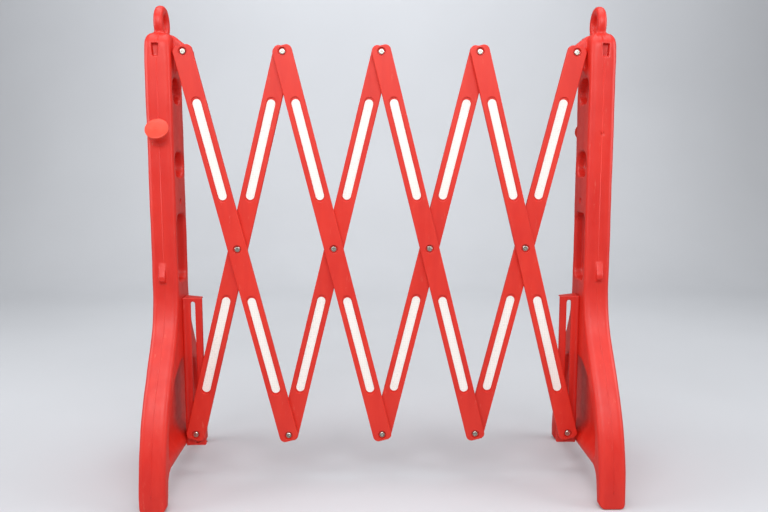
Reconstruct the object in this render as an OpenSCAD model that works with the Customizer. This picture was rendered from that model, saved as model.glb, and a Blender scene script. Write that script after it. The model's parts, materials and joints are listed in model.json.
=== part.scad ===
// Expanding scissor-lattice barrier between two hollow blow-moulded posts.
// +X right along the lattice, -Y towards the front, +Z up, origin on the floor in the middle.
// Lengths in millimetres, angles in degrees.

/* [Lattice] */
// Slat length from the top pivot to the bottom pivot
slat_len = 800; // [780:5:815]
// Slat width
slat_w = 38.5; // [34:0.5:39]
// Slat thickness
slat_t = 9; // [8:0.5:9.5]
// Angle of the slats from vertical as drawn
rest_angle = 14; // [13:0.5:15]
// Height of the top row of pivots above the floor
top_pivot_z = 868; // [866:1:872]

/* [Reflective strips] */
// Width of each strip of film
strip_w = 17.2; // [12:0.1:19]
// Depth of the recess that holds a strip
strip_recess = 2.5; // [1:0.1:3]
// Thickness of the film
film_t = 0.6; // [0.3:0.1:0.8]
// Gap between a strip's long edge and the recess's wall
strip_side_gap = 1; // [0.2:0.1:2]
// Gap between a strip's end and the recess's end
strip_end_gap = 4.5; // [0.5:0.5:6]

/* [Posts] */
// Width of a post along the lattice
post_w = 52; // [50:1:56]
// Height of the post's body, without the ring
post_h = 905; // [900:1:910]
// Depth of the column from front to rear
column_d = 104; // [100:1:110]
// Distance from the front foot's toe to the rear foot's heel
base_d = 400; // [390:5:420]
// Wall thickness of the moulding
wall = 4; // [3:0.5:5]
// Radius along the post's long edges
edge_r = 12; // [8:1:12]
// Gap between the post's inner face and the line of the end pivots
pivot_gap = 21; // [21:0.5:23]

/* [Lifting ring] */
// Radius of the ring's hole
ring_hole_r = 18; // [15:0.5:19]
// Outer radius of the ring
ring_r = 35; // [32:0.5:36]
// Thickness of the ring
ring_t = 18; // [16:1:20]

/* [Filler] */
// Height of the filler mouth
filler_z = 709; // [705:1:715]
// Tilt of the mouth above horizontal
filler_tilt = 32; // [29:1:32]
// Diameter of the filler cap
cap_d = 46; // [43:1:46]

/* [Guides] */
// Width of the slotted front plate
guide_w = 38; // [36:1:40]
// Thickness of the front plate
guide_t = 6; // [5:0.5:6.5]
// Width of the slot
slot_w = 9; // [8.5:0.5:10]

/* [Fasteners] */
// Diameter of the pivot bolts
bolt_d = 6; // [5:0.5:6]
// Diameter of a bolt's head
head_d = 12; // [11:0.5:13]
// Diameter of the counterbore round a head
counterbore_d = 17; // [16:0.5:18]

/* [Hidden] */
ROWS = [1, 2, 3, 4];

RED = [0.86, 0.13, 0.10];
CAP_RED = [0.93, 0.25, 0.15];
FILM = [0.96, 0.96, 0.94];
ZINC = [0.75, 0.76, 0.78];
RUBBER = [0.10, 0.10, 0.11];
NYLON = [0.85, 0.85, 0.82];

// Lattice places
pitch = slat_len * sin(rest_angle);
rise = slat_len * cos(rest_angle);
row_z = [top_pivot_z, top_pivot_z - rise / 2, top_pivot_z - rise];
function column_x(k) = (k - 2) * pitch;

// Layers, from front to rear
washer_t = 1;
guide_front = -17;
rear_back = guide_front - washer_t;
rear_front = rear_back - slat_t;
front_back = rear_front - washer_t;
front_front = front_back - slat_t;

// Slats
slat_over = 12;
slat_corner = 11;
strip_start = 0.235;
strip_end = 0.745;
counterbore_depth = 4;
pivot_play = 0.05;
loop_play = 0.2;

// Posts
inner_x = 2 * pitch + pivot_gap;
post_x = inner_x + post_w / 2;
top_corner_r = 30;
flare_top = 402;
flare_r1 = 180;
flare_r2 = 380;
flare_angle = 34;
foot_lean = 3;
foot_d = 28;
arch_h = 62;
arch_corner_r = 24;
// Lean of the arch's side, and the height where it ends as a share of the arch's
arch_lean = 7;
arch_side = 0.45;
recess_depth = post_w / 2 - wall;
// Lowest and highest height, half depth and corner radius of the recesses in the column
side_recess = [[769, 821, 36, 25], [623, 675, 36, 25], [569, 581, 6, 5.9], [412, 550, 36, 20]];
// Half outline of the recess between the feet, from its top edge to its bottom edge
panel = [[40, 252], [95, 225], [150, 140], [156, 84]];
panel_corner_r = 12;
lug_d = 34;
lug_r = 12.5;
feature_x = 2.5;

// Ring
ring_z = post_h + ring_hole_r + 2;

// Filler
neck_r = 18;
neck_len = 13;
neck_root = 16;
mouth_depth = 40;
mouth_r = 13.5;
seal_t = 2;
cap_rim = 5;
plug_len = 14;

// Guides
guide_z = [66, 378];
slot_z = [75, 366];
flange_t = 4;
flange_rear = 24;
web_t = 2.5;
screw_z = [75, 276, 356];
screw_r = 3;
screw_len = 14;
boss_r = 9.5;

// Bolts
bolt_r = bolt_d / 2;
head_t = 3.2;
cross_len = 6;
cross_w = 1.3;
cross_depth = 1.5;
nut_af = 10;
nut_t = 5;
collar_t = 1.4;
screw_head_r = 5.5;
screw_head_t = 2.6;

// Numbers of points and sides
ARC_STEPS = 6;
CORNER_STEPS = 4;
EDGE_STEPS = 3;
$fn = 48;

// ---- Points and paths ----

// Points along an arc from angle a0 to angle a1
function arc(c, r, a0, a1, n = ARC_STEPS) =
    [for (i = [0:n]) c + r * [cos(a0 + (a1 - a0) * i / n), sin(a0 + (a1 - a0) * i / n)]];

function unit(v) = v / norm(v);

// A closed outline with each corner rounded by an arc that touches both its sides
function rounded(p, r, n = ARC_STEPS) = [
    for (i = [0:len(p) - 1])
        let (a = unit(p[(i + len(p) - 1) % len(p)] - p[i]), b = unit(p[(i + 1) % len(p)] - p[i]),
             half = acos(a * b) / 2, c = p[i] + unit(a + b) * r / sin(half),
             t0 = p[i] + a * r / tan(half) - c, t1 = p[i] + b * r / tan(half) - c,
             a0 = atan2(t0.y, t0.x), turn = atan2(t1.y, t1.x) - a0,
             sweep = turn > 180 ? turn - 360 : turn < -180 ? turn + 360 : turn)
        each arc(c, r, a0, a0 + sweep, n)
];

// Half of the post's side outline, from the top centre down the front and in to the arch's centre
straight = (base_d / 2 - column_d / 2 - flare_r1 * (1 - cos(flare_angle))
    - flare_r2 * (cos(foot_lean) - cos(flare_angle))) / sin(flare_angle);
c1 = [-column_d / 2 - flare_r1, flare_top];
p1 = c1 + flare_r1 * [cos(flare_angle), -sin(flare_angle)];
p2 = p1 - straight * [sin(flare_angle), cos(flare_angle)];
c2 = p2 + flare_r2 * [cos(flare_angle), -sin(flare_angle)];
foot_in = -base_d / 2 + foot_d;
half_outline = concat(
    [[0, post_h]],
    arc([-column_d / 2 + top_corner_r, post_h - top_corner_r], top_corner_r, 90, 180),
    arc(c1, flare_r1, 0, -flare_angle),
    arc(c2, flare_r2, 180 - flare_angle, 180 - foot_lean),
    [[-base_d / 2, 0], [foot_in, 0], [foot_in + arch_lean, arch_side * arch_h]],
    arc([foot_in + arch_lean + arch_corner_r + 3, arch_h - arch_corner_r], arch_corner_r, 165, 92, 3)
);
outline = concat(half_outline, [for (i = [len(half_outline) - 1:-1:1]) [-half_outline[i].x, half_outline[i].y]]);

// The outline moved inwards by d, with the floor edges moved up by only a part of it
FLOOR_SHARE = 0.7;
function inset(p, d, share = FLOOR_SHARE) = [
    for (i = [0:len(p) - 1])
        let (e1 = unit(p[i] - p[(i + len(p) - 1) % len(p)]), e2 = unit(p[(i + 1) % len(p)] - p[i]),
             n1 = [-e1.y, e1.x], n2 = [-e2.y, e2.x], m = (n1 + n2) / (1 + n1 * n2))
        p[i] + d * [m.x, m.y * (p[i].y < 1 ? share : 1)]
];

// A ring all round outline p, its section made of [x, distance inside the outline]
module trim_ring(p, section) {
    n = len(p);
    k = len(section);
    points = [for (s = section) for (q = inset(p, s[1])) [s[0], q.x, q.y]];
    faces = [for (j = [0:k - 1]) for (i = [0:n - 1])
        [j * n + i, ((j + 1) % k) * n + i, ((j + 1) % k) * n + (i + 1) % n, j * n + (i + 1) % n]];
    polyhedron(points, faces, convexity = 8);
}

// A slab as thick as w between rounded long edges
module rounded_slab(p, w, r) {
    quarter = [for (i = [0:EDGE_STEPS]) let (a = 90 * i / EDGE_STEPS)
        [w / 2 - r + r * sin(a), r * (1 - cos(a))]];
    section = concat(quarter, [[w / 2 + 1, r], [w / 2 + 1, -1], [w / 2 - r, -1]]);
    difference() {
        prism_x(-w / 2, w / 2, p);
        trim_ring(p, [for (s = section) [-s[0], s[1]]]);
        trim_ring(p, [for (i = [len(section) - 1:-1:0]) section[i]]);
    }
}

// ---- Placing ----

// Side is -1 at the left and 1 at the right
module at_post(side) {
    translate([side * post_x, 0, 0]) children();
}

module along_y(x, y, z) {
    translate([x, y, z]) rotate([-90, 0, 0]) children();
}

// The filler's axis runs up and out of the face; its zero is on the column's face
module at_filler() {
    translate([0, -column_d / 2, filler_z]) rotate([90 - filler_tilt, 0, 0]) children();
}

module stadium(length, width, t) {
    linear_extrude(t) union() {
        square([length - width, width], center = true);
        for (s = [-1, 1]) translate([s * (length - width) / 2, 0]) circle(width / 2);
    }
}

// ---- Posts ----

function panel_outline() = concat([for (p = panel) [-p.x, p.y]], [for (i = [len(panel) - 1:-1:0]) panel[i]]);
function recess_outline(r) = [[-r[2], r[1]], [-r[2], r[0]], [r[2], r[0]], [r[2], r[1]]];

// A prism along x between two places, on an outline seen from the side
module prism_x(x0, x1, outline) {
    translate([x0, 0, 0]) rotate([90, 0, 90]) linear_extrude(x1 - x0) polygon(outline);
}

// Every recess of the side faces between two places along x, with its outline grown by g
module recess_prisms(x0, x1, g) {
    for (r = side_recess) prism_x(x0, x1, inset(rounded(recess_outline(r), r[3], CORNER_STEPS), -g));
    prism_x(x0, x1, inset(rounded(panel_outline(), panel_corner_r, CORNER_STEPS), -g));
}

// The hollow inside: each recess stands in a core that joins both side walls
module cavity() {
    difference() {
        prism_x(-post_w / 2 + wall, post_w / 2 - wall, inset(outline, wall, 1));
        recess_prisms(-post_w / 2, post_w / 2, wall);
        screw_holes(boss_r, recess_depth + wall);
        at_features() face_pocket(wall);
    }
}

// Shallow pocket near the top and the small hook below it, on the front or rear face
pocket_w = 13;
pocket_z = [858, 882];
pocket_depth = 6;
hook_w = 13;
hook_z = [415, 453];
hook_d = 9;
hook_chin = 5;
hook_face = 7;
module at_features() {
    for (a = [0, 180]) rotate([0, 0, a]) translate([(a == 0 ? -1 : 1) * feature_x, 0, 0]) children();
}

// The pocket's outline grown by g
module face_pocket(g) {
    translate([-pocket_w / 2 - g, -column_d / 2 - 1, pocket_z[0] - g])
        cube([pocket_w + 2 * g, pocket_depth + 1 + g, pocket_z[1] - pocket_z[0] + 2 * g]);
}

module face_hook() {
    rotate([90, 0, 90]) translate([0, 0, -hook_w / 2]) linear_extrude(hook_w) polygon([
        [-column_d / 2 + 1, hook_z[0]], [-column_d / 2 - hook_d, hook_z[0] + hook_chin],
        [-column_d / 2 - hook_d, hook_z[0] + hook_chin + hook_face], [-column_d / 2 + 1, hook_z[1]]]);
}

// Gusset and round nose for the end pivot of the lattice's top row, as [out from the face, height]
lug_top = post_h - 5;
lug_foot = top_pivot_z - 40;
module lug() {
    nose = [pivot_gap, top_pivot_z];
    translate([post_w / 2, lug_d / 2, 0]) rotate([90, 0, 0]) linear_extrude(lug_d) polygon(concat(
        [[-wall, lug_foot], [0, lug_foot]], arc(nose, lug_r, -50, 60), [[0, lug_top], [-wall, lug_top]]));
}

// Blind holes in the inner face for the guide's screws, and the bosses round them
module screw_holes(r, depth) {
    for (z = screw_z) translate([post_w / 2 - depth, 0, z]) rotate([0, 90, 0]) cylinder(depth + 1, r = r);
}

// The moulding of the left post, about the post's own middle
module post_moulding() {
    lug_reach = pivot_gap + post_w / 2;
    difference() {
        union() {
            difference() {
                rounded_slab(outline, post_w, edge_r);
                cavity();
                for (x = [-post_w / 2 - 1, post_w / 2 - recess_depth]) recess_prisms(x, x + recess_depth + 1, 0);
                at_features() face_pocket(0);
            }
            at_features() face_hook();
            // Ring on top
            translate([-ring_t / 2, 0, ring_z]) rotate([0, 90, 0]) cylinder(ring_t, r = ring_r);
            lug();
            // Filler neck
            at_filler() translate([0, 0, -neck_root]) cylinder(neck_root + neck_len, r = neck_r);
        }
        translate([-ring_t, 0, ring_z]) rotate([0, 90, 0]) cylinder(2 * ring_t, r = ring_hole_r);
        along_y(lug_reach, -lug_d, top_pivot_z) cylinder(2 * lug_d, r = bolt_r + pivot_play);
        at_filler() translate([0, 0, -mouth_depth]) cylinder(mouth_depth + neck_len + 1, r = mouth_r);
        screw_holes(screw_r, screw_len + 2);
    }
}

module post_shell(side) {
    color(RED) at_post(side) rotate([0, 0, side < 0 ? 0 : 180]) post_moulding();
}

// ---- Filler caps ----

module filler_place(side) {
    at_post(side) rotate([0, 0, side < 0 ? 0 : 180]) at_filler() children();
}

module filler_cap(side) {
    color(CAP_RED) filler_place(side) {
        translate([0, 0, neck_len + seal_t]) {
            cylinder(cap_rim - 1.5, r = cap_d / 2);
            translate([0, 0, cap_rim - 1.5]) cylinder(1.5, cap_d / 2, cap_d / 2 - 3);
        }
        translate([0, 0, neck_len - plug_len]) cylinder(plug_len + seal_t + 1, r = mouth_r - 0.5);
    }
}

module cap_seal(side) {
    color(RUBBER) filler_place(side) translate([0, 0, neck_len]) difference() {
        cylinder(seal_t, r = neck_r - 0.5);
        translate([0, 0, -1]) cylinder(seal_t + 2, r = mouth_r - 0.5);
    }
}

// ---- Slide guides ----

// Angle-section guide with closed ends. It is drawn for the left post, and x runs from the post's face.
module guide_body() {
    span = guide_z[1] - guide_z[0];
    plate_x = pivot_gap - guide_w / 2;
    difference() {
        union() {
            translate([0, guide_front, guide_z[0]]) cube([plate_x + guide_w, guide_t, span]);
            translate([0, guide_front, guide_z[0]]) cube([flange_t, flange_rear - guide_front, span]);
            for (z = [guide_z[0], guide_z[1] - web_t]) translate([0, 0, z]) linear_extrude(web_t) polygon([
                [0, guide_front], [plate_x + guide_w, guide_front], [plate_x + guide_w, 4], [0, flange_rear]]);
        }
        along_y(pivot_gap, guide_front - 1, 0) translate([0, -(slot_z[0] + slot_z[1]) / 2, 0]) rotate([0, 0, 90])
            stadium(slot_z[1] - slot_z[0] + slot_w, slot_w, guide_t + 2);
        for (z = screw_z) translate([-1, 0, z]) rotate([0, 90, 0]) cylinder(flange_t + 2, r = screw_r + 0.2);
    }
}

module at_guide(side) {
    if (side < 0) translate([-inner_x, 0, 0]) children();
    else translate([inner_x, 0, 0]) mirror([1, 0, 0]) children();
}

module slide_guide(side) {
    color(RED) at_guide(side) guide_body();
}

module guide_screws(side) {
    color(ZINC) at_guide(side) for (z = screw_z) translate([0, 0, z]) rotate([0, 90, 0]) {
        translate([0, 0, -screw_len]) cylinder(screw_len + flange_t, r = screw_r);
        translate([0, 0, flange_t]) pan_head(screw_head_r, screw_head_t);
    }
}

// ---- Slats ----

// A slat of lean 1 runs from its top pivot down to the right, and of lean -1 down to the left.
// Its own frame has x across the slat, y up along it and z to the rear, with zero at the middle pivot.
module at_slat(k, lean) {
    translate([column_x(k - 0.5), lean > 0 ? front_front : rear_front, row_z[1]])
        rotate([0, -lean * rest_angle, 0]) rotate([90, 0, 0]) mirror([0, 0, 1]) children();
}

function strip_y(s) = s * (slat_len / 2) * (1 - (strip_start + strip_end) / 2);
strip_len = (strip_end - strip_start) * slat_len / 2;

module slat_outline() {
    half_w = slat_w / 2 - slat_corner;
    half_l = slat_len / 2 + slat_over - slat_corner;
    square([slat_w, 2 * half_l], center = true);
    square([2 * half_w, 2 * (half_l + slat_corner)], center = true);
    for (x = [-half_w, half_w]) for (y = [-half_l, half_l]) translate([x, y]) circle(slat_corner);
}

// play is the radial play of the top, middle and bottom bores; front and rear say which of the
// three places have a counterbore on that face
module slat(k, lean, play, front, rear) {
    color(RED) at_slat(k, lean) difference() {
        linear_extrude(slat_t) slat_outline();
        for (s = [-1, 1]) for (z = [-1, slat_t - strip_recess]) translate([0, strip_y(s), z]) rotate([0, 0, 90])
            stadium(strip_len + 2 * strip_end_gap, strip_w + 2 * strip_side_gap, strip_recess + 1);
        for (i = [0:2]) translate([0, (1 - i) * slat_len / 2, 0]) {
            translate([0, 0, -1]) cylinder(slat_t + 2, r = bolt_r + play[i]);
            if (front[i]) translate([0, 0, -1]) cylinder(counterbore_depth + 1, r = counterbore_d / 2);
            if (rear[i]) translate([0, 0, slat_t - counterbore_depth - 1])
                cylinder(counterbore_depth + 2, r = counterbore_d / 2);
        }
    }
}

module slat_a(k) {
    slat(k, 1, [pivot_play, pivot_play, pivot_play], [true, true, true], [false, false, false]);
}

module slat_b(k) {
    at_guide_end = k == 1;
    at_post_end = k == 4;
    slat(k, -1, [pivot_play, pivot_play, at_guide_end ? pivot_play : loop_play],
        [at_post_end, false, at_guide_end], [!at_post_end, true, !at_guide_end]);
}

module reflectors(k, lean) {
    color(FILM) at_slat(k, lean) for (s = [-1, 1])
        for (z = [strip_recess - film_t, slat_t - strip_recess]) translate([0, strip_y(s), z]) rotate([0, 0, 90])
            stadium(strip_len, strip_w, film_t);
}

// ---- Bolts, nuts and washers ----

// A round pan head from z = 0 up, with a cross recess in its top
module pan_head(r, t) {
    rim = 0.25 * t;
    crown = 0.35 * r;
    difference() {
        rotate_extrude() polygon(concat([[0, 0], [r, 0]],
            [for (a = [0:18:90]) [r - crown + crown * cos(a), rim + (t - rim) * sin(a)]], [[0, t]]));
        for (a = [0, 90]) rotate([0, 0, a]) translate([-cross_len / 2, -cross_w / 2, t - cross_depth])
            cube([cross_len, cross_w, cross_depth + 1]);
    }
}

// A pan head from the seat forwards, and its shank backwards
module bolt(x, z, seat, end) {
    translate([x, seat, z]) {
        rotate([90, 0, 0]) pan_head(head_d / 2, head_t);
        rotate([-90, 0, 0]) cylinder(end - seat, r = bolt_r);
    }
}

// A hexagon with a round locking collar behind it
module nut(x, z, front) {
    along_y(x, front, z) difference() {
        union() {
            cylinder(nut_t - collar_t, r = nut_af / 2 / cos(30), $fn = 6);
            cylinder(nut_t, r = nut_af / 2 - 0.6);
        }
        translate([0, 0, -1]) cylinder(nut_t + 2, r = bolt_r);
    }
}

module washer(x, z, front, t, r) {
    along_y(x, front, z) difference() {
        cylinder(t, r = r);
        translate([0, 0, -1]) cylinder(t + 2, r = bolt_r + pivot_play);
    }
}

lattice_seat = front_front + counterbore_depth;
lattice_nut = rear_back - counterbore_depth;
gap_r = 9;

// The crossings that a bolt set holds, as [x, z]
function a_places(k) = k < 4 ? [[column_x(k - 0.5), row_z[1]], [column_x(k), row_z[2]]]
    : [[column_x(k - 0.5), row_z[1]]];
function b_places(k) = [[column_x(k), row_z[0]]];

// The rollers ride in the guides' slots: a bush with a flange behind the plate, held by a washer and nut
roller_play = 0.3;
roller_flange_r = 6.5;
roller_front = guide_front - washer_t + 0.2;
roller_flange = guide_front + guide_t + 0.6;
roller_back = roller_flange + 3;

module bolts_a(k) {
    color(ZINC) {
        for (p = a_places(k)) bolt(p.x, p.y, lattice_seat, rear_back - 0.5);
        if (k == 4) bolt(column_x(4), row_z[2], lattice_seat, roller_back + nut_t + 1);
    }
}

module nuts_a(k) {
    color(ZINC) {
        for (p = a_places(k)) nut(p.x, p.y, lattice_nut);
        if (k == 4) nut(column_x(4), row_z[2], roller_back);
    }
}

module washers_a(k) {
    color(NYLON) for (p = a_places(k)) washer(p.x, p.y, front_back, washer_t, gap_r);
}

module bolts_b(k) {
    color(ZINC) {
        for (p = b_places(k)) bolt(p.x, p.y, lattice_seat, rear_back - 0.5);
        if (k == 1) bolt(column_x(0), row_z[2], rear_front + counterbore_depth, roller_back + nut_t + 1);
    }
}

module nuts_b(k) {
    color(ZINC) {
        for (p = b_places(k)) nut(p.x, p.y, lattice_nut);
        if (k == 1) nut(column_x(0), row_z[2], roller_back);
    }
}

module washers_b(k) {
    color(NYLON) for (p = b_places(k)) washer(p.x, p.y, front_back, washer_t, gap_r);
}

module slide_roller(side) {
    color(NYLON) difference() {
        along_y(side * 2 * pitch, roller_front, row_z[2]) union() {
            cylinder(roller_back - roller_front, r = slot_w / 2 - roller_play);
            translate([0, 0, roller_flange - roller_front]) cylinder(roller_back - roller_flange, r = roller_flange_r);
        }
        along_y(side * 2 * pitch, roller_front - 1, row_z[2])
            cylinder(roller_back - roller_front + 2, r = bolt_r + pivot_play);
    }
}

module right_slide_spacer() {
    color(NYLON) washer(2 * pitch, row_z[2], front_back, roller_front - front_back, gap_r);
}

module left_top_spacer() {
    color(NYLON) washer(-2 * pitch, row_z[0], front_back, -lug_d / 2 - front_back, gap_r);
}

module right_top_washer() {
    color(NYLON) washer(2 * pitch, row_z[0], rear_back, washer_t, gap_r);
}

module top_bolt(side) {
    color(ZINC) bolt(side * 2 * pitch, row_z[0],
        (side < 0 ? front_front : rear_front) + counterbore_depth, lug_d / 2 + nut_t + 1);
}

module top_nut(side) {
    color(ZINC) nut(side * 2 * pitch, row_z[0], lug_d / 2);
}

// ---- The barrier ----

for (s = [["left", -1], ["right", 1]]) {
    post_shell(s[1]);
    slide_guide(s[1]);
    guide_screws(s[1]);
    top_bolt(s[1]);
    top_nut(s[1]);
    slide_roller(s[1]);
    filler_cap(s[1]);
    cap_seal(s[1]);
}
left_top_spacer();
right_top_washer();
right_slide_spacer();
for (k = ROWS) {
    slat_a(k);
    slat_b(k);
    reflectors(k, 1);
    reflectors(k, -1);
    bolts_a(k);
    nuts_a(k);
    washers_a(k);
}
for (k = [1:3]) {
    bolts_b(k);
    nuts_b(k);
    washers_b(k);
}
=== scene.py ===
"""Expanding scissor-lattice barrier: the looks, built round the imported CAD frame.

Lengths are worked out in millimetres in the CAD's own axes and become metres when a mesh is made.
"""
import json
import math

import bpy
import numpy as np
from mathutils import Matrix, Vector, geometry


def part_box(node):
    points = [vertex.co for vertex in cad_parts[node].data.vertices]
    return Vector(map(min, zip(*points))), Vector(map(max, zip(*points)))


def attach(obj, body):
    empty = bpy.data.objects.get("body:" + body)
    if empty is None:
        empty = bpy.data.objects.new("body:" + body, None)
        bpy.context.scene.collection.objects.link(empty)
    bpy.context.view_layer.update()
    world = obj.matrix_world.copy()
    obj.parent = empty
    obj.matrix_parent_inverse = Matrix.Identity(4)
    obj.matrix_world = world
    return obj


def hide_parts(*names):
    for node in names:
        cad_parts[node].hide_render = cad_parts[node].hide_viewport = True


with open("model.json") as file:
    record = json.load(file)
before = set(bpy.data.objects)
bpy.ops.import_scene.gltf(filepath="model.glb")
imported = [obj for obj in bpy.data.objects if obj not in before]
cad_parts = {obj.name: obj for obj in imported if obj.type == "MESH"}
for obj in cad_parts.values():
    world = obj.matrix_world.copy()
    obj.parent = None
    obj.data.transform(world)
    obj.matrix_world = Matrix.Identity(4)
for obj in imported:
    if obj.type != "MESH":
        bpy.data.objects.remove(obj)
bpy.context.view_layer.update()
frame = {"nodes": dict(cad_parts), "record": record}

MM = 0.001
# Grid steps of the surfaces made from fields, in millimetres
POST_STEP = 2.4
GUIDE_STEP = 1.5


# ---- What the frame says ----

def corners(node):
    """Lowest and highest corner of a CAD node, in millimetres."""
    low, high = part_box(node)
    return np.array(low) / MM, np.array(high) / MM


JOINTS = {j["name"]: j for j in frame["record"]["behaviour"]["joints"]}


def pivot(name):
    """A hinge's place in the lattice's plane, in millimetres, as (x, z)."""
    x, _, z = JOINTS[name]["pos_m"]
    return np.array([x, z]) / MM


TOP = [pivot("spread")] + [pivot(f"top_{k}") for k in (1, 2, 3)] + [pivot("right_post_pivot")]
MIDDLE = [None] + [pivot(f"cross_{k}") for k in (1, 2, 3, 4)]
REST_ANGLE = math.atan2(MIDDLE[1][0] - TOP[0][0], TOP[0][1] - MIDDLE[1][1])
SLAT_LEN = 2 * math.hypot(*(MIDDLE[1] - TOP[0]))
SLAT_W, SLAT_T = 38.5, corners("slat_a1")[1][1] - corners("slat_a1")[0][1]
FRONT_LAYER_Y = corners("slat_a1")[0][1]
REAR_LAYER_Y = corners("slat_b1")[0][1]

GUIDE_LOW, GUIDE_HIGH = corners("left_slide_guide")
INNER_X = -GUIDE_LOW[0]
POST_LOW, POST_HIGH = corners("left_post_shell")
POST_W = -POST_LOW[0] - INNER_X
POST_X = INNER_X + POST_W / 2
BASE_D = POST_HIGH[1] - POST_LOW[1]
PIVOT_GAP = INNER_X + TOP[0][0]
PIVOT_Z = TOP[0][1]


# ---- Meshes ----

def make_object(name, verts_mm, faces, body, material, replaces=(), smooth_angle=None):
    """A mesh piece that rides on a body and takes the material it is given."""
    mesh = bpy.data.meshes.new(name)
    verts = [tuple(v) for v in np.asarray(verts_mm) * MM]
    mesh.from_pydata(verts, [], [tuple(int(i) for i in f) for f in faces])
    mesh.validate()
    mesh.polygons.foreach_set("use_smooth", [True] * len(mesh.polygons))
    if smooth_angle is not None:
        mesh.set_sharp_from_angle(angle=math.radians(smooth_angle))
    mesh.update()
    piece = bpy.data.objects.new(name, mesh)
    bpy.context.scene.collection.objects.link(piece)
    mesh.materials.append(material)
    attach(piece, body)
    if replaces:
        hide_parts(*replaces)
    return piece


def surface_net(field, low, high, step):
    """The zero surface of field(x, y, z), negative inside, as vertices and outward quads."""
    axes = [np.arange(a - 2 * step, b + 3 * step, step) for a, b in zip(low, high)]
    values = field(*np.meshgrid(*axes, indexing="ij"))
    cells = [n - 1 for n in values.shape]
    total = np.zeros((*cells, 3), np.float32)
    count = np.zeros(cells, np.float32)
    crossings = []
    for axis in range(3):
        u, v = (axis + 1) % 3, (axis + 2) % 3
        f = np.moveaxis(values, (axis, u, v), (0, 1, 2))
        first, second = f[:-1], f[1:]
        cross = (first < 0) != (second < 0)
        share = np.where(cross, first / np.where(cross, first - second, 1), 0)
        crossings.append((cross, first < 0))
        to_cells = lambda a: np.moveaxis(a, (0, 1, 2), (axis, u, v))
        for du in (0, 1):
            for dv in (0, 1):
                part = (slice(None), slice(du, du + cells[u]), slice(dv, dv + cells[v]))
                hit = to_cells(cross[part])
                total[..., axis] += to_cells(share[part])
                total[..., u] += du * hit
                total[..., v] += dv * hit
                count += hit
    active = count > 0
    index = np.cumsum(active.ravel()).reshape(active.shape) - 1
    origin = np.array([a[0] for a in axes])
    verts = (np.argwhere(active) + total[active] / count[active][:, None]) * step + origin
    faces = []
    for axis, (cross, outward) in enumerate(crossings):
        u, v = (axis + 1) % 3, (axis + 2) % 3
        ids = np.moveaxis(index, (axis, u, v), (0, 1, 2))
        inner = cross[:, 1:-1, 1:-1]
        a, b, c, d = ids[:, :-1, :-1], ids[:, 1:, :-1], ids[:, 1:, 1:], ids[:, :-1, 1:]
        quads = np.stack([q[inner] for q in (a, b, c, d)], axis=1)
        out = outward[:, 1:-1, 1:-1][inner]
        faces.append(quads[out])
        faces.append(quads[~out][:, ::-1])
    return settle(field, verts, step), np.concatenate(faces)


def settle(field, verts, step, rounds=3):
    """Moves each vertex along the field's slope to its zero surface, half a step at most each round."""
    h = 0.15 * step
    for _ in range(rounds):
        value = field(*verts.T)
        slope = np.stack([(field(*(verts + h * e).T) - field(*(verts - h * e).T)) / (2 * h)
                          for e in np.eye(3)], axis=1)
        size = np.maximum((slope ** 2).sum(axis=1), 0.05)
        move = -(value / size)[:, None] * slope
        length = np.maximum(np.linalg.norm(move, axis=1, keepdims=True), 1e-9)
        verts = verts + move * np.minimum(1, 0.5 * step / length)
    return verts


# ---- Fields, in millimetres ----

def arc(centre, r, start, end, n=10):
    """Points along an arc between two angles in degrees."""
    turn = np.radians(np.linspace(start, end, n + 1))
    return [(centre[0] + r * math.cos(a), centre[1] + r * math.sin(a)) for a in turn]


def polygon_field(points, u, v):
    """Signed distance to a closed polygon, negative inside."""
    p = np.asarray(points, float)
    best = np.full(u.shape, 1e12)
    inside = np.zeros(u.shape, bool)
    for (x0, y0), (x1, y1) in zip(p, np.roll(p, -1, axis=0)):
        ex, ey = x1 - x0, y1 - y0
        if ex * ex + ey * ey < 1e-9:
            continue
        wx, wy = u - x0, v - y0
        t = np.clip((wx * ex + wy * ey) / (ex * ex + ey * ey), 0, 1)
        best = np.minimum(best, (wx - ex * t) ** 2 + (wy - ey * t) ** 2)
        if ey != 0:
            spans = (y0 <= v) != (y1 <= v)
            inside ^= spans & (wx < wy * ex / ey)
    return np.sqrt(best) * np.where(inside, -1, 1)


def slab(flat, across, r):
    """Solid between a flat outline's field and the distance across it, with edges of radius r."""
    a, b = flat + r, across + r
    return np.minimum(np.maximum(a, b), 0) + np.hypot(np.maximum(a, 0), np.maximum(b, 0)) - r


def join(a, b, k):
    """Union with a fillet about k wide."""
    h = np.maximum(k - np.abs(a - b), 0) / k
    return np.minimum(a, b) - h * h * k / 4


def cut(a, tool, k):
    """What is left of a without the tool, with its lip rounded over about k."""
    h = np.maximum(k - np.abs(a + tool), 0) / k
    return np.maximum(a, -tool) + h * h * k / 4


def across_x(flat, y, z):
    """A field of y and z alone: on a grid it is worked out for one x only."""
    return flat(y[0], z[0])[None] if y.ndim == 3 else flat(y, z)


def rounded_box(u, v, half_u, half_v, r):
    """Signed distance to a rectangle about the origin with corners of radius r."""
    return slab(np.abs(u) - half_u, np.abs(v) - half_v, r)


# ---- Materials ----

def linear(r, g, b):
    """An sRGB colour, 0 to 255, as the linear one that shaders use."""
    channels = (((c / 255 + 0.055) / 1.055) ** 2.4 if c > 10 else c / 255 / 12.92 for c in (r, g, b))
    return (*channels, 1.0)


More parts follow.
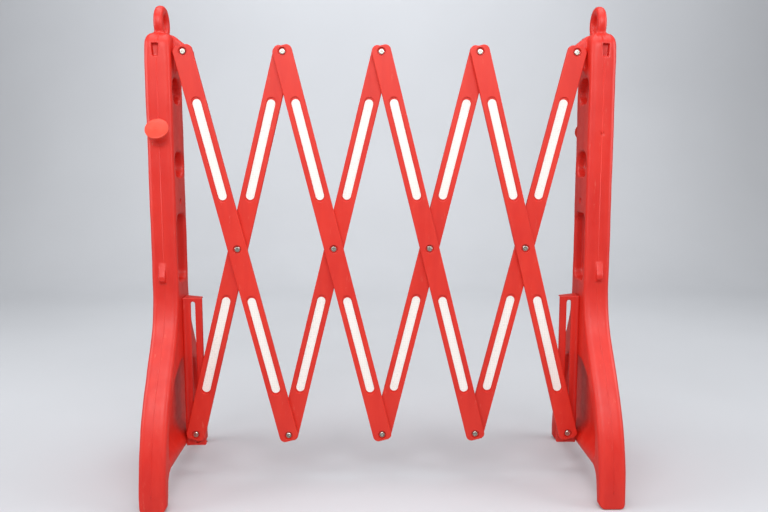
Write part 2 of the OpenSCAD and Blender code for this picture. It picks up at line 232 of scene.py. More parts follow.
class Shader:
    """Short calls for a material's nodes."""

    def __init__(self, name):
        self.material = bpy.data.materials.new(name)
        self.material.use_nodes = True
        self.tree = self.material.node_tree
        self.bsdf = self.tree.nodes["Principled BSDF"]
        self.place = self.node("ShaderNodeTexCoord").outputs["Object"]

    def node(self, kind, **values):
        """A new node with some of its settings."""
        n = self.tree.nodes.new(kind)
        for key, value in values.items():
            setattr(n, key, value)
        return n

    def link(self, a, b):
        self.tree.links.new(a, b)

    def stretch(self, scale):
        """The object's own coordinates, scaled along each axis."""
        n = self.node("ShaderNodeMapping")
        n.inputs["Scale"].default_value = scale
        self.link(self.place, n.inputs["Vector"])
        return n.outputs["Vector"]

    def noise(self, scale, detail=4.0, rough=0.55, place=None):
        n = self.node("ShaderNodeTexNoise")
        n.inputs["Scale"].default_value = scale
        n.inputs["Detail"].default_value = detail
        n.inputs["Roughness"].default_value = rough
        self.link(place or self.place, n.inputs["Vector"])
        return n.outputs["Fac"]

    def span(self, value, low, high, to_low=0.0, to_high=1.0):
        """A value moved from one range to another, and held inside it."""
        n = self.node("ShaderNodeMapRange")
        limits = {"From Min": low, "From Max": high, "To Min": to_low, "To Max": to_high}
        for key, number in limits.items():
            n.inputs[key].default_value = number
        self.link(value, n.inputs["Value"])
        return n.outputs["Result"]

    def math(self, operation, a, b):
        n = self.node("ShaderNodeMath", operation=operation)
        for socket, value in zip(n.inputs, (a, b)):
            if isinstance(value, (int, float)):
                socket.default_value = value
            else:
                self.link(value, socket)
        return n.outputs[0]

    def mix(self, factor, a, b):
        n = self.node("ShaderNodeMix", data_type="RGBA")
        self.link(factor, n.inputs["Factor"])
        for socket, value in zip((n.inputs[6], n.inputs[7]), (a, b)):
            if isinstance(value, tuple):
                socket.default_value = value
            else:
                self.link(value, socket)
        return n.outputs[2]

    def bump(self, height, strength, distance, under=None):
        n = self.node("ShaderNodeBump")
        n.inputs["Strength"].default_value = strength
        n.inputs["Distance"].default_value = distance
        self.link(height, n.inputs["Height"])
        if under is not None:
            self.link(under, n.inputs["Normal"])
        return n.outputs["Normal"]

    def set(self, **values):
        """Sets or links the surface shader's sockets; an underscore stands for a space."""
        for key, value in values.items():
            socket = self.bsdf.inputs[key.replace("_", " ")]
            if isinstance(value, (int, float, tuple)):
                socket.default_value = value
            else:
                self.link(value, socket)


def moulded_plastic(name, colour, shade, tint, roughness=0.42, waviness=0.5):
    """Semi-gloss moulded plastic: uneven tone, fine skin texture, scuffs and dust."""
    s = Shader(name)
    tone = s.span(s.noise(5.0, 3.0), 0.35, 0.65)
    streaks = s.span(s.noise(9.0, 5.0, place=s.stretch((6.0, 6.0, 0.8))), 0.4, 0.75, 0.0, 0.5)
    base = s.mix(streaks, s.mix(tone, colour, shade), tint)
    scuff_noise = s.noise(120.0, 6.0, 0.7, s.stretch((1.0, 0.4, 0.25)))
    scuffs = s.span(scuff_noise, 0.62, 0.78, 0.0, 0.35)
    dust = linear(236, 140, 118)
    rough = s.math("ADD", s.span(s.noise(60.0, 5.0), 0.3, 0.7, roughness - 0.05, roughness + 0.07),
                   s.math("MULTIPLY", scuffs, 0.35))
    skin = s.bump(s.noise(900.0, 2.0), 0.10, 0.0004)
    waves = s.bump(s.noise(14.0, 2.0), waviness, 0.0012, skin)
    s.set(Base_Color=s.mix(scuffs, base, dust), Roughness=rough, Normal=waves, Specular_IOR_Level=0.55)
    s.set(Subsurface_Weight=0.06, Subsurface_Scale=0.004, Subsurface_Radius=(1.0, 0.25, 0.15), IOR=1.5)
    return s.material


def reflective_film():
    """White prismatic film: a faint cell pattern, soft sheen and light dirt."""
    s = Shader("reflective_film")
    cells = s.node("ShaderNodeTexVoronoi", feature="DISTANCE_TO_EDGE")
    cells.inputs["Scale"].default_value = 260.0
    cells.inputs["Randomness"].default_value = 0.25
    s.link(s.place, cells.inputs["Vector"])
    seam = s.span(cells.outputs["Distance"], 0.02, 0.09)
    dirt = s.span(s.noise(30.0, 6.0, 0.6), 0.55, 0.8, 0.0, 0.3)
    base = s.mix(dirt, s.mix(seam, linear(234, 229, 223), linear(249, 244, 238)), linear(232, 224, 214))
    s.set(Base_Color=base, Roughness=s.span(s.noise(200.0), 0.3, 0.7, 0.24, 0.36),
          Normal=s.bump(seam, 0.25, 0.0002), Coat_Weight=0.3, Coat_Roughness=0.12)
    return s.material


def zinc_steel():
    """Bright zinc plate with a fine brushed grain and a few dull patches."""
    s = Shader("zinc_steel")
    patches = s.span(s.noise(160.0, 5.0), 0.4, 0.7)
    grain = s.noise(1500.0, 2.0, 0.5, s.stretch((1.0, 1.0, 0.1)))
    s.set(Base_Color=s.mix(patches, linear(232, 230, 222), linear(196, 192, 180)), Metallic=1.0,
          Roughness=s.span(patches, 0.0, 1.0, 0.22, 0.42), Normal=s.bump(grain, 0.15, 0.0001))
    return s.material


def plain_polymer(name, light, dark, roughness):
    """Matte nylon or rubber with a slight mottle and a fine grain."""
    s = Shader(name)
    mottle = s.span(s.noise(80.0, 4.0), 0.35, 0.65)
    s.set(Base_Color=s.mix(mottle, light, dark),
          Roughness=s.span(mottle, 0.0, 1.0, roughness, roughness + 0.12),
          Normal=s.bump(s.noise(700.0, 3.0), 0.2, 0.0003))
    return s.material


RED = moulded_plastic("red_plastic", linear(217, 37, 22), linear(206, 29, 17), linear(225, 50, 33))
SLAT_RED = moulded_plastic("slat_plastic", linear(222, 42, 24), linear(211, 33, 18), linear(230, 55, 34),
                           roughness=0.46, waviness=0.25)
# The caps' red is the posts' red painted lighter and more orange: painted light for their tilted heads,
# which face up
LIT_CAP_RED = moulded_plastic("cap_plastic", linear(232, 68, 44), linear(222, 58, 36), linear(238, 80, 55),
                          roughness=0.34, waviness=0.1)
FILM = reflective_film()
ZINC = zinc_steel()
NYLON = plain_polymer("nylon", linear(228, 226, 216), linear(206, 202, 190), 0.45)
SEAL = plain_polymer("seal_rubber", linear(38, 38, 40), linear(24, 24, 26), 0.6)


# ---- Posts: one moulding, which the right side turns half round ----

POST_H = 905.0
COLUMN_D = 104.0
# The long edges' radius, which grows from EDGE_R to DOME_R over the last stretch below the top
EDGE_R, DOME_R, DOME_START, DOME_SPAN = 12.0, 15.0, 850.0, 45.0
SKIN_DEPTH = 0.4
TOP_CORNER_R = 30.0
FLARE_TOP, FLARE_R1, FLARE_R2 = 402.0, 180.0, 380.0
FLARE_ANGLE, FOOT_LEAN = 34.0, 3.0
FOOT_D, ARCH_H, ARCH_CORNER_R, ARCH_LEAN = 28.0, 62.0, 24.0, 7.0
# Each recess leaves this much to the post's middle plane, and its walls lean by the draft
RECESS_REST, RECESS_DRAFT = 4.0, 0.10
RECESS_DEPTH = POST_W / 2 - RECESS_REST
# Recesses in the column: lowest and highest height, half depth and corner radius
SIDE_RECESSES = [(769, 821, 36, 25), (623, 675, 36, 25), (569, 581, 6, 5.9), (412, 550, 36, 20)]
# One with less half depth than this is a shallow hollow with upright walls
SMALL_HALF_D = 10.0
# The panel over the arch, as half of its outline in depth and height; its foot slopes outwards
PANEL = [(40, 252), (95, 225), (150, 140), (156, 84)]
PANEL_CORNER_R, PANEL_FOOT_SLOPE = 12.0, 1.15
# The pockets and hooks stand this far from the middle of the column's width
FEATURE_X = -2.5
POCKET_LOW, POCKET_HIGH, POCKET_DEPTH = 858.0, 882.0, 10.0
POCKET_FOOT_HALF_W, POCKET_FLARE = 5.2, 1.8
CREASE_X, CREASE_HALF_W, CREASE_DEPTH, CREASE_END = FEATURE_X + 3.5, 1.8, 2.4, 36.0
HOOK_HALF_W = 6.5
# The hook's side, as depth from the column's face and height
HOOK_OUTLINE = [(-6, 415), (-6, 457), (0, 453), (9, 428), (9, 420), (0, 413)]
LUG_HALF_D, LUG_R, LUG_TOP, LUG_FOOT, LUG_ROOT = 17.0, 12.5, POST_H - 5, PIVOT_Z - 40, -4.0
RING_HOLE_R, RING_R, RING_HALF_T, RING_EDGE_R = 18.0, 35.0, 9.0, 7.5
RING_Z = POST_H + RING_HOLE_R + 2


def side_outline():
    """The post seen from its side, as (y, z), counter-clockwise from the top's middle."""
    lean, tip = math.radians(FLARE_ANGLE), math.radians(FOOT_LEAN)
    straight = (BASE_D / 2 - COLUMN_D / 2 - FLARE_R1 * (1 - math.cos(lean))
                - FLARE_R2 * (math.cos(tip) - math.cos(lean))) / math.sin(lean)
    c1 = (-COLUMN_D / 2 - FLARE_R1, FLARE_TOP)
    p1 = (c1[0] + FLARE_R1 * math.cos(lean), c1[1] - FLARE_R1 * math.sin(lean))
    p2 = (p1[0] - straight * math.sin(lean), p1[1] - straight * math.cos(lean))
    c2 = (p2[0] + FLARE_R2 * math.cos(lean), p2[1] - FLARE_R2 * math.sin(lean))
    toe = -BASE_D / 2
    half = [(0.0, POST_H)]
    half += arc((-COLUMN_D / 2 + TOP_CORNER_R, POST_H - TOP_CORNER_R), TOP_CORNER_R, 90, 180)
    half += arc(c1, FLARE_R1, 0, -FLARE_ANGLE, 20)
    half += arc(c2, FLARE_R2, 180 - FLARE_ANGLE, 180 - FOOT_LEAN, 24)
    side = toe + FOOT_D + ARCH_LEAN
    half += [(toe, 0.0), (toe + FOOT_D, 0.0), (side, 0.45 * ARCH_H)]
    half += arc((side + ARCH_CORNER_R + 3, ARCH_H - ARCH_CORNER_R), ARCH_CORNER_R, 165, 92)
    return half + [(-y, z) for y, z in reversed(half[1:])]


OUTLINE = side_outline()
CAP_AXIS = np.array(JOINTS["left_cap_pull"]["axis"])
CAP_TILT = math.atan2(CAP_AXIS[2], -CAP_AXIS[1])
NECK_R, MOUTH_R, NECK_LEN = 18.0, 13.5, 13.0
NECK_ROOT, MOUTH_DEPTH, DIMPLE_R = 20.0, 14.0, 3.0
FILLER_Z = 709.0


def along_filler(x, y, z):
    """Distance along the filler mouth's axis from the column's face, and distance from that axis."""
    dy, dz = y + COLUMN_D / 2, z - FILLER_Z
    s = -dy * math.cos(CAP_TILT) + dz * math.sin(CAP_TILT)
    side = dy * math.sin(CAP_TILT) + dz * math.cos(CAP_TILT)
    return s, np.hypot(side, x)


def recess_field(y, z, recess):
    """A column recess's outline seen from the side."""
    z0, z1, half, corner = recess
    return rounded_box(y, z - (z0 + z1) / 2, half, (z1 - z0) / 2, corner)


def rounded(points, r, n=8):
    """A closed outline with each corner rounded by an arc that touches both its sides."""
    out = []
    for before, point, after in zip(points[-1:] + points[:-1], points, points[1:] + points[:1]):
        point = np.array(point, float)
        u, v = (np.array(q, float) - point for q in (before, after))
        u, v = u / np.linalg.norm(u), v / np.linalg.norm(v)
        half = math.acos(u @ v) / 2
        centre = point + (u + v) / np.linalg.norm(u + v) * r / math.sin(half)
        first, last = (point + w * r / math.tan(half) - centre for w in (u, v))
        start, end = (math.degrees(math.atan2(w[1], w[0])) for w in (first, last))
        out += arc(centre, r, start, start + (end - start + 180) % 360 - 180, n)
    return out


PANEL_OUTLINE = rounded([(-y, z) for y, z in PANEL] + PANEL[::-1], PANEL_CORNER_R)


def post_field(x, y, z):
    """The post about its own middle: x runs towards the lattice and the filler mouth is at -y.

    The last number of each slab, join and cut is its edge's radius or its fillet's width.
    """
    x, y, z = (np.asarray(a, float) for a in (x, y, z))
    flat = across_x(lambda d, h: polygon_field(OUTLINE, d, h), y, z)
    panel = across_x(lambda d, h: polygon_field(PANEL_OUTLINE, d, h), y, z)
    edge = EDGE_R + (DOME_R - EDGE_R) * np.clip((z - DOME_START) / DOME_SPAN, 0, 1)
    body = slab(flat, np.abs(x) - POST_W / 2, edge)
    # Low, long waves of a blown skin, all of them inside the CAD outline
    long_waves = 0.25 * np.sin(z / 31 + 1.3) * np.sin(y / 23 + 0.4)
    body = body + SKIN_DEPTH + long_waves + 0.12 * np.sin(z / 11 + y / 17)
    # Recesses, the same in both side faces, with drafted walls
    under = POST_W / 2 - np.abs(x)
    draft = RECESS_DRAFT * under
    for recess in SIDE_RECESSES:
        shape = recess_field(y, z, recess)
        if recess[2] < SMALL_HALF_D:
            body = cut(body, slab(shape, under - 0.4 * RECESS_DEPTH, 1.5), 1.6)
        else:
            body = cut(body, slab(shape + draft, under - RECESS_DEPTH, 7), 5)
    panel_foot = (PANEL_FOOT_SLOPE * under - (z - PANEL[-1][1])) / math.hypot(1, PANEL_FOOT_SLOPE)
    body = cut(body, slab(np.maximum(panel + draft, panel_foot), under - RECESS_DEPTH, 7), 6)
    # Lug and gusset for the lattice's end pivot
    lug_outline = ([(LUG_ROOT, LUG_FOOT), (0, LUG_FOOT)] + arc((PIVOT_GAP, PIVOT_Z), LUG_R, -50, 60)
                   + [(0, LUG_TOP), (LUG_ROOT, LUG_TOP)])
    # Nothing of the lug or the ring reaches below this, so the rest of the grid is left out
    near = np.s_[:, :, z[0, 0] > LUG_FOOT - 20] if x.ndim == 3 else z > LUG_FOOT - 20
    out = x[near] - POST_W / 2
    lug = slab(polygon_field(lug_outline, out, z[near]), np.abs(y[near]) - LUG_HALF_D, 4)
    body[near] = join(body[near], lug, 7)
    # Ring
    rho = np.hypot(y[near], z[near] - RING_Z)
    ring = rounded_box(rho - (RING_R + RING_HOLE_R) / 2, x[near], (RING_R - RING_HOLE_R) / 2, RING_HALF_T,
                       RING_EDGE_R)
    body[near] = join(body[near], ring, 7)
    # Hooks and pockets, front and rear
    depth = np.abs(y) - COLUMN_D / 2
    hook = across_x(lambda d, h: polygon_field(HOOK_OUTLINE, d, h), depth, z)
    body = join(body, slab(hook, np.abs(x - FEATURE_X) - HOOK_HALF_W, 1.6), 2.5)
    pocket_h = POCKET_HIGH - POCKET_LOW
    pocket_half_w = POCKET_FOOT_HALF_W + (z - POCKET_LOW) / pocket_h * POCKET_FLARE
    pocket_end = np.abs(z - (POCKET_LOW + POCKET_HIGH) / 2) - pocket_h / 2
    pocket = np.maximum(np.abs(x - FEATURE_X) - pocket_half_w, pocket_end)
    body = cut(body, slab(pocket, -POCKET_DEPTH - depth, 0.8), 0.8)
    # A crease from inside the pocket up and over the top's corner
    crease_side = np.maximum(np.abs(x - CREASE_X) - CREASE_HALF_W, POCKET_HIGH - 3 - z)
    crease = slab(np.maximum(crease_side, CREASE_END - np.abs(y)), -CREASE_DEPTH - flat, 0.6)
    body = cut(body, crease, 1.2)
    # Filler neck and mouth in front, a small dimple behind
    s, away = along_filler(x, y, z)
    neck_end = np.abs(s - NECK_LEN / 2 + NECK_ROOT / 2) - NECK_LEN / 2 - NECK_ROOT / 2
    body = join(body, slab(away - NECK_R, neck_end, 1.5), 6)
    body = cut(body, np.maximum(away - MOUTH_R, -MOUTH_DEPTH - s), 1.5)
    dimple = np.sqrt(x ** 2 + (y - COLUMN_D / 2) ** 2 + (z - FILLER_Z) ** 2) - DIMPLE_R
    return cut(body, dimple, 1.5)


def place_post(verts, side):
    """From the post's own middle to the left (-1) or, turned half round, to the right (1)."""
    turned = verts * np.array([-side, -side, 1])
    return turned + np.array([side * POST_X, 0, 0])


def build_posts():
    """One surface for both posts, with a parting line on each."""
    low = [-POST_W / 2, -BASE_D / 2, 0]
    high = [POST_W / 2 + PIVOT_GAP + LUG_R, BASE_D / 2, RING_Z + RING_R]
    verts, faces = surface_net(post_field, low, high, POST_STEP)
    # The soles lie flat on the floor
    verts[:, 2] = np.where(verts[:, 2] < 2 * SKIN_DEPTH, 0, verts[:, 2])
    for name, side in (("left", -1), ("right", 1)):
        make_object(f"{name}_post", place_post(verts, side), faces, f"{name}_post", RED,
                    [f"{name}_post_shell"])
        build_parting_line(name, side)


def build_parting_line(name, side):
    """A low bead along the middle of the front and rear faces, where the mould's halves met.

    It starts just below the pocket and ends on the toe.
    """
    half_w, crest_half_w, foot, below_pocket = 0.9, 0.4, SKIN_DEPTH, 4.0
    half = [(half_w, -3 * foot), (half_w, -foot), (crest_half_w, 0.0)]
    profile = [(-w, h) for w, h in half] + half[::-1]
    lower = [p for p in OUTLINE[:OUTLINE.index((-BASE_D / 2, 0.0))] if p[1] <= FLARE_TOP]
    front = np.array([(-COLUMN_D / 2, POCKET_LOW - below_pocket)] + lower)
    for end, path in (("front", front), ("rear", front * np.array([-1, 1]))):
        tangent = np.gradient(path, axis=0)
        tangent /= np.linalg.norm(tangent, axis=1, keepdims=True)
        normal = np.stack([tangent[:, 1], -tangent[:, 0]], axis=1) * (1 if end == "front" else -1)
        rings = [[(x, *(p + n * h)) for x, h in profile] for p, n in zip(path, normal)]
        verts = np.array(rings).reshape(-1, 3)
        m = len(profile)
        faces = [(i * m + j, (i + 1) * m + j, (i + 1) * m + (j + 1) % m, i * m + (j + 1) % m)
                 for i in range(len(path) - 1) for j in range(m)]
        faces += [tuple(range(m)), tuple(range(len(verts) - 1, len(verts) - m - 1, -1))]
        if end == "rear":
            faces = [f[::-1] for f in faces]
        make_object(f"{name}_{end}_parting_line", place_post(verts, side), faces, f"{name}_post",
                    RED)


# ---- Slide guides ----

SLOT_W, SLOT_LOW, SLOT_HIGH = 9.0, 75.0, 366.0
GUIDE_T, FLANGE_T, WEB_T = 6.0, 4.0, 2.5
PLATE_EDGE_R, FLANGE_EDGE_R, WEB_INSET = 1.4, 1.2, 1.5


def guide_field(x, y, z):
    """Angle-section guide with a web at each end; x runs from the post's face towards the lattice."""
    width, front, rear = GUIDE_HIGH[0] + INNER_X, GUIDE_LOW[1], GUIDE_HIGH[1]
    z0, z1 = GUIDE_LOW[2], GUIDE_HIGH[2]
    mid_z, half_z = (z0 + z1) / 2, (z1 - z0) / 2
    tall = np.abs(z - mid_z) - half_z
    plate = slab(rounded_box(x - width / 2, z - mid_z, width / 2, half_z, PLATE_EDGE_R),
                 np.abs(y - front - GUIDE_T / 2) - GUIDE_T / 2, PLATE_EDGE_R)
    flange_flat = rounded_box(x - FLANGE_T / 2, y - (front + rear) / 2, FLANGE_T / 2, (rear - front) / 2,
                              FLANGE_EDGE_R)
    flange = slab(flange_flat, tall, FLANGE_EDGE_R)
    web_outline = [(0, front), (width - WEB_INSET, front), (width - WEB_INSET, 4), (0, rear)]
    web_end = np.abs(tall + WEB_T / 2) - WEB_T / 2
    web = slab(polygon_field(web_outline, x, y), web_end, FLANGE_EDGE_R)
    body = join(join(plate, flange, 3), web, 1)
    slot_half = (SLOT_HIGH - SLOT_LOW) / 2 + SLOT_W / 2
    slot = rounded_box(x - PIVOT_GAP, z - (SLOT_LOW + SLOT_HIGH) / 2, SLOT_W / 2, slot_half, SLOT_W / 2)
    return cut(body, np.maximum(slot, y - front - GUIDE_T - 1), PLATE_EDGE_R)


def build_guides():
    """One surface, mirrored for the right side."""
    low = [0, GUIDE_LOW[1], GUIDE_LOW[2]]
    high = [GUIDE_HIGH[0] + INNER_X, GUIDE_HIGH[1], GUIDE_HIGH[2]]
    verts, faces = surface_net(guide_field, low, high, GUIDE_STEP)
    for name, side in (("left", -1), ("right", 1)):
        placed = verts * np.array([-side, 1, 1]) + np.array([side * INNER_X, 0, 0])
        make_object(f"{name}_guide", placed, faces if side < 0 else faces[:, ::-1], f"{name}_post",
                    RED, [f"{name}_slide_guide"])


# ---- Slats and films ----

# How far a slat runs past its end pivots, and its corners' radius
SLAT_OVER, SLAT_CORNER = 12.0, 11.0
# The strips' ends, as shares of the way from an end pivot to the middle one
STRIP_START, STRIP_END = 0.235, 0.745
STRIP_W, STRIP_DEPTH, FILM_T = 17.2, 2.5, 0.6
SIDE_GAP, END_GAP = 1.0, 4.5
STRIP_B = SLAT_LEN / 2 * (1 - (STRIP_START + STRIP_END) / 2)
STRIP_HALF_L = (STRIP_END - STRIP_START) * SLAT_LEN / 4
COUNTERBORE_R, COUNTERBORE_DEPTH, BORE_R, BORE_LIP = 8.5, 4.0, 3.05, 0.4
# A slat's rounded edge: how far in from the outline, and how far down from the face
ROUND_EDGE = [(0.0, 1.4), (0.12, 0.8), (0.41, 0.41), (0.8, 0.12), (1.4, 0.0)]
# What a round end's radius lacks of half the strip's width, so that its two corners stay apart
CORNER_SLACK = 1e-3


class Plate:
    """A plate of closed rings of points, joined by walls and filled flat faces."""

    def __init__(self):
        self.verts, self.faces = [], []

    def ring(self, outline, depth):
        """Adds a closed ring of points at one depth, and returns their numbers."""
        start = len(self.verts)
        self.verts += [(a, b, depth) for a, b in outline]
        return list(range(start, len(self.verts)))

    def wall(self, first, second):
        """A band of quads between two rings of the same length."""
        n = len(first)
        self.faces += [(first[i], first[(i + 1) % n], second[(i + 1) % n], second[i]) for i in range(n)]

    def walls(self, rings):
        for first, second in zip(rings, rings[1:]):
            self.wall(first, second)

    def fill(self, loops, up):
        """A flat face inside the first loop and outside the others, facing up or down the depth."""
        flat = [i for loop in loops for i in loop]
        triangles = geometry.tessellate_polygon([[Vector(self.verts[i]) for i in loop] for loop in loops])
        for t in triangles:
            a, b, c = (np.array(self.verts[flat[i]]) for i in t)
            turn = (b[0] - a[0]) * (c[1] - a[1]) - (b[1] - a[1]) * (c[0] - a[0])
            face = [flat[i] for i in t]
            self.faces.append(tuple(face if (turn > 0) == up else reversed(face)))


def round_rectangle(half_a, half_b, r, centre=(0, 0), n=8):
    """Counter-clockwise outline with round corners."""
    points = []
    for a, b, start in ((1, 1, 0), (-1, 1, 90), (-1, -1, 180), (1, -1, 270)):
        middle = (centre[0] + a * (half_a - r), centre[1] + b * (half_b - r))
        points += arc(middle, r, start, start + 90, n)
    return [p for p, q in zip(points, points[1:] + points[:1]) if math.dist(p, q) > 1e-6]


def sunk_rings(plate, shape, face, inward, depth, lip=0.6):
    """Rings from a face's lip down to the floor of a recess; shape(grow) is its outline."""
    steps = [(lip, 0.0), (0.3 * lip, 0.12 * lip), (0.0, 0.5 * lip)]
    steps += [(-0.05, depth - 0.5), (-0.2, depth - 0.1), (-0.5, depth)]
    return [plate.ring(shape(grow), face + inward * down) for grow, down in steps]


def strip_outline(sign, half_w, half_l):
    """Outline of a strip or its recess above (1) or below (-1) the middle pivot, with round ends."""
    return round_rectangle(half_w, half_l, half_w - CORNER_SLACK, (0, sign * STRIP_B), 12)


def slat_mesh(front_bores, rear_bores):
    """A slat about its middle: a across, b along, c from the front face at 0 to the rear face.

    Each bore, from the top pivot to the bottom one, is counterbored or not in each face.
    """
    plate = Plate()
    half_l = SLAT_LEN / 2 + SLAT_OVER
    outline = lambda d: round_rectangle(SLAT_W / 2 - d, half_l - d, SLAT_CORNER - d)
    outer = [plate.ring(outline(inset), down) for inset, down in reversed(ROUND_EDGE)]
    outer += [plate.ring(outline(inset), SLAT_T - down) for inset, down in ROUND_EDGE]
    plate.walls(outer[::-1])
    front, rear = [outer[0]], [outer[-1]]
    wide, long = STRIP_W / 2 + SIDE_GAP, STRIP_HALF_L + END_GAP
    for sign in (-1, 1):
        shape = lambda grow: strip_outline(sign, wide + grow, long + grow)
        for face, inward, holes in ((0.0, 1, front), (SLAT_T, -1, rear)):
            rings = sunk_rings(plate, shape, face, inward, STRIP_DEPTH)
            plate.walls(rings if inward > 0 else rings[::-1])
            holes.append(rings[0])
            plate.fill([rings[-1]], up=inward < 0)
    for b, sink_front, sink_rear in zip((SLAT_LEN / 2, 0, -SLAT_LEN / 2), front_bores, rear_bores):
        circle = lambda r: arc((0, b), r, 0, 360, 32)[:-1]
        floors = []
        for face, inward, holes, sunk in ((0.0, 1, front, sink_front), (SLAT_T, -1, rear, sink_rear)):
            if not sunk:
                lip = [plate.ring(circle(BORE_R + BORE_LIP), face),
                       plate.ring(circle(BORE_R), face + inward * BORE_LIP)]
                plate.wall(*(lip if inward > 0 else lip[::-1]))
                holes.append(lip[0])
                floors.append(lip[-1])
                continue
            shape = lambda grow: circle(COUNTERBORE_R + grow)
            rings = sunk_rings(plate, shape, face, inward, COUNTERBORE_DEPTH)
            plate.walls(rings if inward > 0 else rings[::-1])
            holes.append(rings[0])
            hole = plate.ring(circle(BORE_R), face + inward * COUNTERBORE_DEPTH)
            plate.wall(*((rings[-1], hole) if inward > 0 else (hole, rings[-1])))
            floors.append(hole)
        plate.wall(floors[0], floors[1])
    plate.fill(front, up=False)
    plate.fill(rear, up=True)
    return np.array(plate.verts), plate.faces


def place_slat(verts, k, lean, face_y):
    """Lean 1 runs from its top pivot down to the right, and lean -1 down to the left."""
    a, b, c = np.asarray(verts, float).T
    sin, cos = math.sin(REST_ANGLE), math.cos(REST_ANGLE)
    x = MIDDLE[k][0] + a * cos - lean * b * sin
    z = MIDDLE[k][1] + a * lean * sin + b * cos
    return np.stack([x, face_y + c, z], axis=1)


def weighted(piece):
    """Flat faces stay flat beside their rounded edges."""
    modifier = piece.modifiers.new("weighted_normals", "WEIGHTED_NORMAL")
    modifier.weight = 100
    modifier.keep_sharp = True


def film_mesh():
    """The four strips of one slat, each a thin plate with softened edges."""
    plate = Plate()
    edge = [(0.35, 0.0), (0.22, 0.1), (0.22, FILM_T - 0.1), (0.35, FILM_T)]
    for sign in (-1, 1):
        for front in (STRIP_DEPTH - FILM_T, SLAT_T - STRIP_DEPTH):
            rings = [plate.ring(strip_outline(sign, STRIP_W / 2 - inset, STRIP_HALF_L - inset), front + down)
                     for inset, down in edge]
            plate.walls(rings[::-1])
            plate.fill([rings[0]], up=False)
            plate.fill([rings[-1]], up=True)
    return np.array(plate.verts), plate.faces


def build_lattice():
    """Eight slats with their films: row a is in front, and only the end slats differ in their bores."""
    films = film_mesh()
    for k in (1, 2, 3, 4):
        for row, lean, face_y in (("a", 1, FRONT_LAYER_Y), ("b", -1, REAR_LAYER_Y)):
            if row == "a":
                front_bores, rear_bores = (True, True, True), (False, False, False)
            else:
                front_bores = (k == 4, False, k == 1)
                rear_bores = (k != 4, True, k != 1)
            body = f"slat_{row}{k}"
            verts, faces = slat_mesh(front_bores, rear_bores)
            placed = place_slat(verts, k, lean, face_y)
            weighted(make_object(f"slat_{row}{k}_bar", placed, faces, body, SLAT_RED,
                                 [body], smooth_angle=50))
            placed = place_slat(films[0], k, lean, face_y)
            weighted(make_object(f"film_{row}{k}", placed, films[1], body, FILM,
                                 [f"reflectors_{row}{k}"], smooth_angle=50))


# ---- Filler caps ----

def lathe(profile, sides=64):
    """Turned mesh round the c axis from (radius, height) points, closed at both ends."""
    angles = np.linspace(0, 2 * math.pi, sides, endpoint=False)
    verts = [(r * math.cos(t), r * math.sin(t), h) for r, h in profile for t in angles]
    at = lambda j, i: j * sides + i % sides
    faces = [(at(j, i), at(j, i + 1), at(j + 1, i + 1), at(j + 1, i))
             for j in range(len(profile) - 1) for i in range(sides)]
    faces += [tuple(range(sides - 1, -1, -1)), tuple(range(len(verts) - sides, len(verts)))]
    return np.array(verts), faces


def place_on_filler(verts, side):
    """From the filler's own axes, c along its axis from the column's face, to the post's place."""
    a, b, c = verts.T
    sin, cos = math.sin(CAP_TILT), math.cos(CAP_TILT)
    local = np.stack([a, -COLUMN_D / 2 - c * cos + b * sin, FILLER_Z + c * sin + b * cos], axis=1)
    return place_post(local, side)


def build_caps():
    """A ribbed plug under a wide, slightly domed head with a rolled rim."""
    plug_foot, rim_foot = NECK_LEN - 14, NECK_LEN + 2
    plug_r, cap_r, rim = MOUTH_R - 0.5, 23.0, 5.0
    core_r = plug_r - 0.8
    ribs, rib_pitch = 4, 3
    profile = [(plug_r - 2.5, plug_foot), (core_r, plug_foot + 0.8)]
    for i in range(ribs):
        z = plug_foot + 2 + i * rib_pitch
        profile += [(core_r, z), (plug_r, z + 0.9), (plug_r - 0.1, z + 1.3), (core_r, z + 1.7)]
    profile += [(core_r, rim_foot), (cap_r - 1.2, rim_foot), (cap_r - 0.3, rim_foot + 0.4)]
    profile += arc((cap_r - 1.8, rim_foot + 2.2), 1.8, -10, 80, 6)
    profile += [(cap_r - 3.0, rim_foot + 4.1), (cap_r - 5.0, rim_foot + 4.3)]
    profile += [(r, rim_foot + rim - 0.7 * (r / 18) ** 2) for r in (17.0, 14.0, 11.0, 8.0, 5.0, 2.5)]
    profile += [(1.6, rim_foot + rim - 0.1), (0.6, rim_foot + rim - 0.25)]
    verts, faces = lathe(profile)
    for name, side in (("left", -1), ("right", 1)):
        make_object(f"{name}_cap", place_on_filler(verts, side), faces, f"{name}_cap",
                    LIT_CAP_RED, [f"{name}_filler_cap"], smooth_angle=40)


# ---- CAD nodes that keep their own shape ----

def dress(node, material, bevel_mm):
    """A CAD node gets its material and softened edges."""
    piece = frame["nodes"][node]
    piece.data.materials.clear()
    piece.data.materials.append(material)
    modifier = piece.modifiers.new("soft_edges", "BEVEL")
    modifier.width = bevel_mm * MM
    modifier.segments = 2
    modifier.limit_method = "ANGLE"
    modifier.angle_limit = math.radians(40)
    modifier.harden_normals = True


def dress_small_parts():
    for node in frame["nodes"]:
        if "seal" in node:
            dress(node, SEAL, 0.4)
        elif any(word in node for word in ("washer", "roller", "spacer")):
            dress(node, NYLON, 0.15)
        elif any(word in node for word in ("bolt", "nut", "screw")):
            dress(node, ZINC, 0.25)


# ---- Stage, light and camera ----

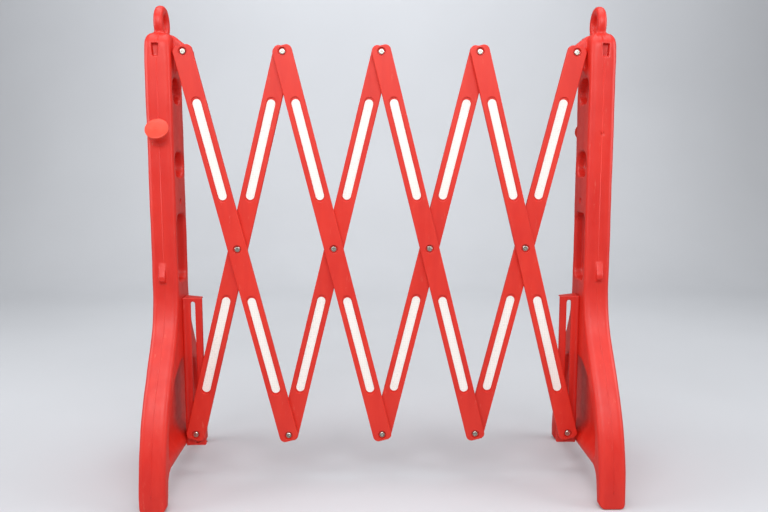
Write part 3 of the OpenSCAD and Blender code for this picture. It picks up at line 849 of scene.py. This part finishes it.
def build_stage():
    """Pale floor that curves up into a backdrop, in metres."""
    front, back, radius, height, half_width = -5.0, 2.2, 1.5, 5.0, 7.0
    profile = [(front, 0.0), (back, 0.0)]
    profile += [(back + radius * math.sin(t), radius * (1 - math.cos(t)))
                for t in np.linspace(0.05, math.pi / 2, 24)]
    profile += [(back + radius, height)]
    verts = [(x, y, z) for y, z in profile for x in (-half_width, half_width)]
    faces = [(2 * i, 2 * i + 1, 2 * i + 3, 2 * i + 2) for i in range(len(profile) - 1)]
    mesh = bpy.data.meshes.new("floor")
    mesh.from_pydata(verts, [], faces)
    mesh.polygons.foreach_set("use_smooth", [True] * len(faces))
    floor = bpy.data.objects.new("floor", mesh)
    bpy.context.scene.collection.objects.link(floor)
    s = Shader("studio_floor")
    mottle = s.span(s.noise(0.7, 3.0), 0.3, 0.7)
    s.set(Base_Color=s.mix(mottle, linear(196, 199, 204), linear(203, 206, 211)),
          Roughness=s.span(mottle, 0.0, 1.0, 0.75, 0.85))
    mesh.materials.append(s.material)
    # Its mirror image at grazing angles would grey the inner faces
    floor.visible_glossy = False


def area_light(name, place, target, size, power):
    """A white rectangular light that faces its target."""
    data = bpy.data.lights.new(name, "AREA")
    data.shape = "RECTANGLE"
    data.size, data.size_y = size
    data.energy = power
    light = bpy.data.objects.new(name, data)
    light.location = place
    light.rotation_euler = (Vector(target) - Vector(place)).to_track_quat("-Z", "Y").to_euler()
    bpy.context.scene.collection.objects.link(light)


def build_lights():
    """Soft light from above and in front, some from each side, and the backdrop's own."""
    middle = (0.0, 0.0, 0.5)
    upper = (0.0, 0.0, 0.9)
    area_light("overhead", (0.0, 0.0, 2.6), middle, (2.6, 1.6), 32)
    area_light("key", (-0.1, -1.9, 1.75), upper, (2.6, 1.0), 41)
    area_light("side_left", (-2.3, -0.5, 1.3), middle, (1.4, 1.6), 24)
    area_light("side_right", (2.3, -0.5, 1.3), middle, (1.4, 1.6), 24)
    area_light("backdrop", (0.0, 1.5, 2.8), (0.0, 3.6, 1.6), (3.2, 0.8), 60)
    world = bpy.data.worlds.new("studio")
    world.use_nodes = True
    background = world.node_tree.nodes["Background"]
    background.inputs["Color"].default_value = (0.94, 0.93, 0.92, 1)
    background.inputs["Strength"].default_value = 0.26
    bpy.context.scene.world = world
    bpy.context.scene.view_settings.view_transform = "Standard"


def build_camera():
    """In front, near the height of the lattice's upper half, a little left of the middle."""
    data = bpy.data.cameras.new("camera")
    data.lens = 36.35
    data.sensor_width = 36.0
    data.clip_end = 50
    camera = bpy.data.objects.new("camera", data)
    camera.location = (-0.0264, -1.5875, 0.6571)
    camera.rotation_euler = (math.pi / 2 - 0.1227, 0.0014, -0.02)
    bpy.context.scene.collection.objects.link(camera)
    bpy.context.scene.camera = camera


build_stage()
build_lights()
build_camera()
build_posts()
build_guides()
build_lattice()
build_caps()
dress_small_parts()
